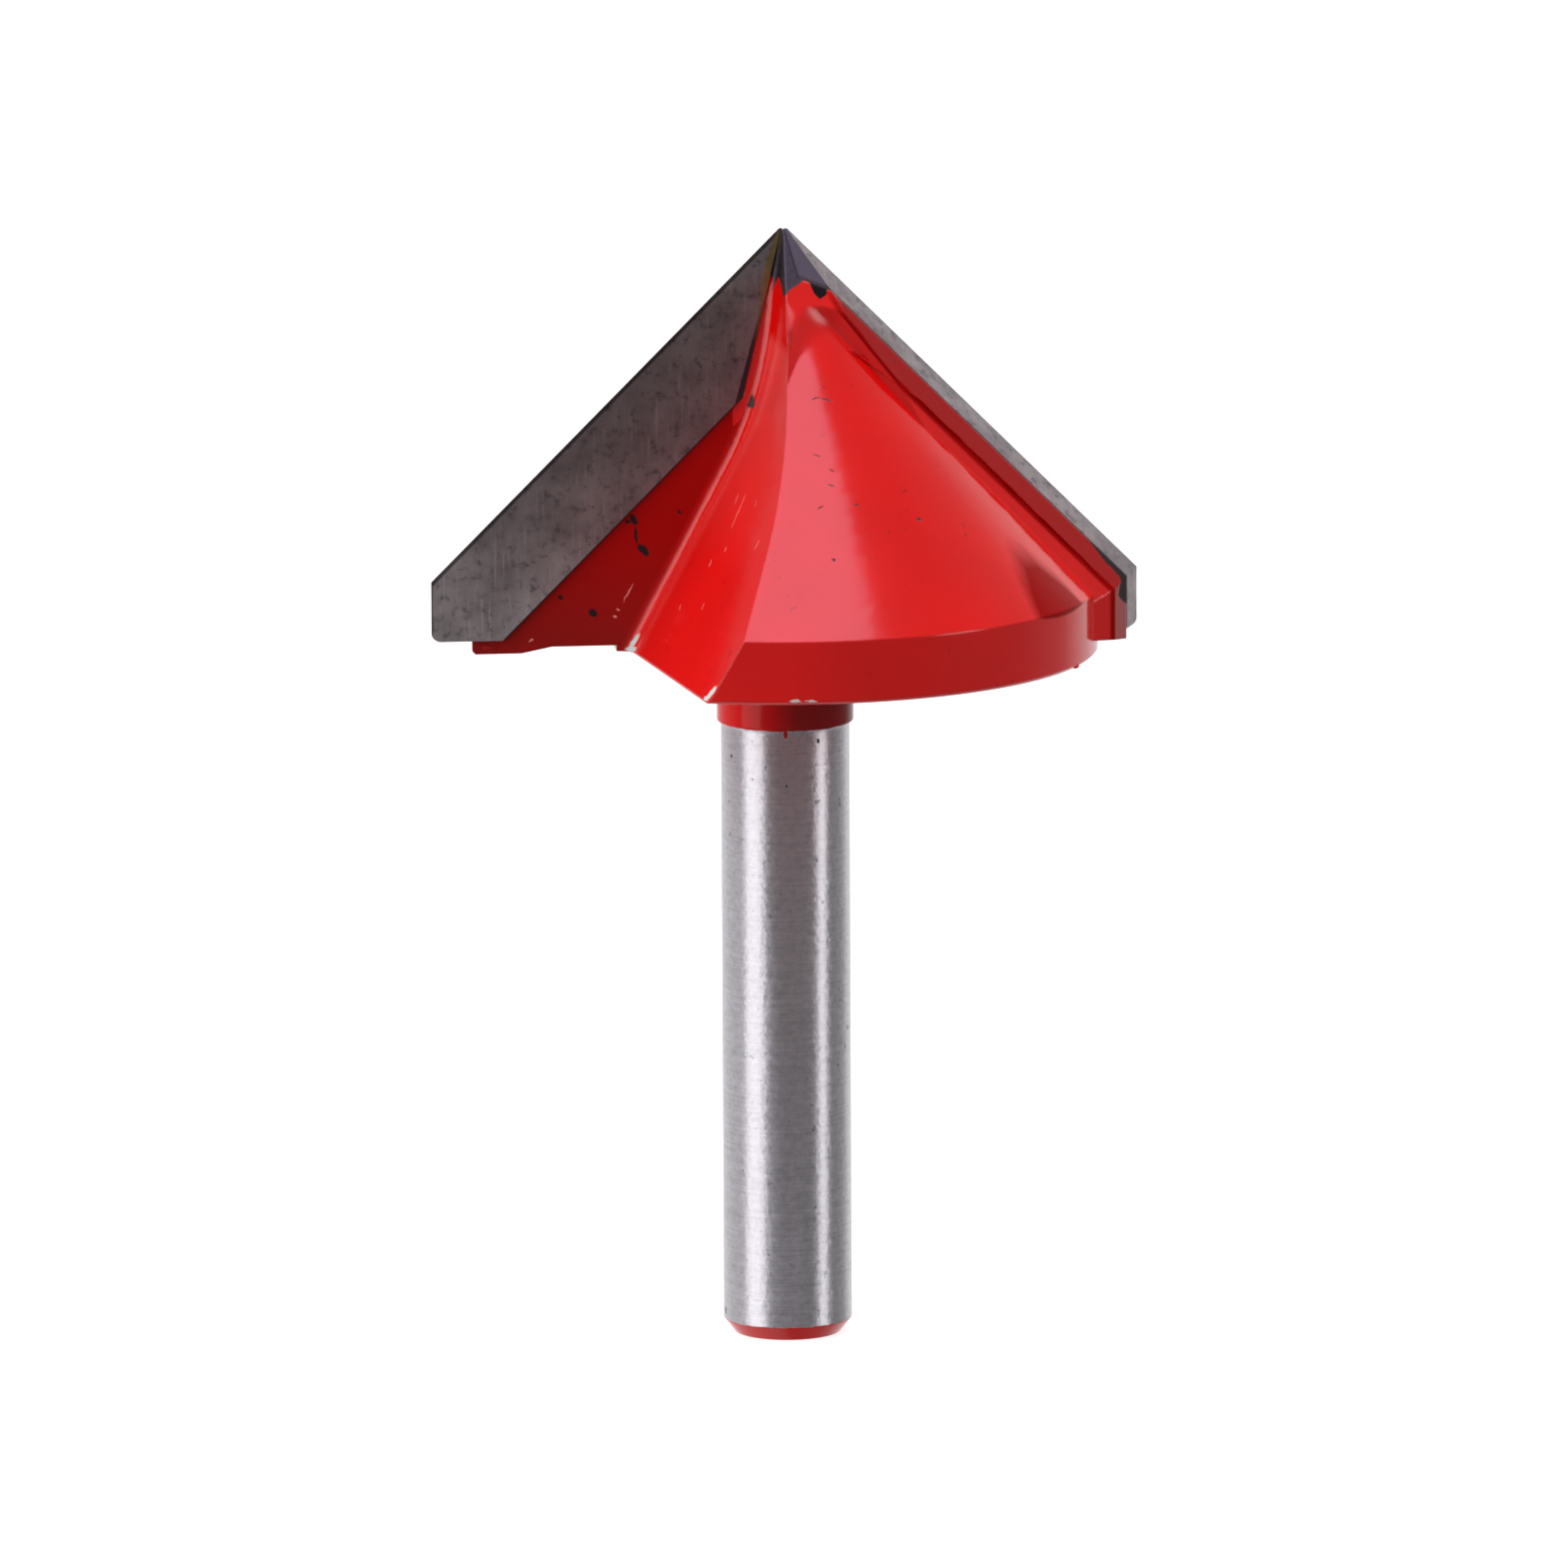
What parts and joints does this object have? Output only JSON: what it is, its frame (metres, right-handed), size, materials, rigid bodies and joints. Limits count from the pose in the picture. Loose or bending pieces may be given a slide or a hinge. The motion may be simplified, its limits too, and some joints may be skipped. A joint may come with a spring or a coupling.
{
  "type": "v groove router bit",
  "caption": "Router bit with a straight shank and a painted conical head whose carbide blades meet in a point, for cutting V-shaped grooves in wood.",
  "frame": {"origin": "centre of the shank's flat end", "axes": "+Z along the axis of rotation from the shank's end to the V tip; the cutting edges lie in the XZ plane, blade a toward +X"},
  "size_m": [0.035, 0.0308, 0.0553],
  "materials": {
    "lacquered_steel": "gloss red lacquer over steel; the shank is bare ground steel",
    "carbide": "ground sintered carbide, dark grey",
    "braze_filler": "solidified brazing filler"
  },
  "bodies": {
    "root": {"steel_body": "lacquered_steel", "carbide_blade_a": "carbide", "carbide_blade_b": "carbide", "braze_layer_a": "braze_filler", "braze_layer_b": "braze_filler"}
  },
  "joints": []
}
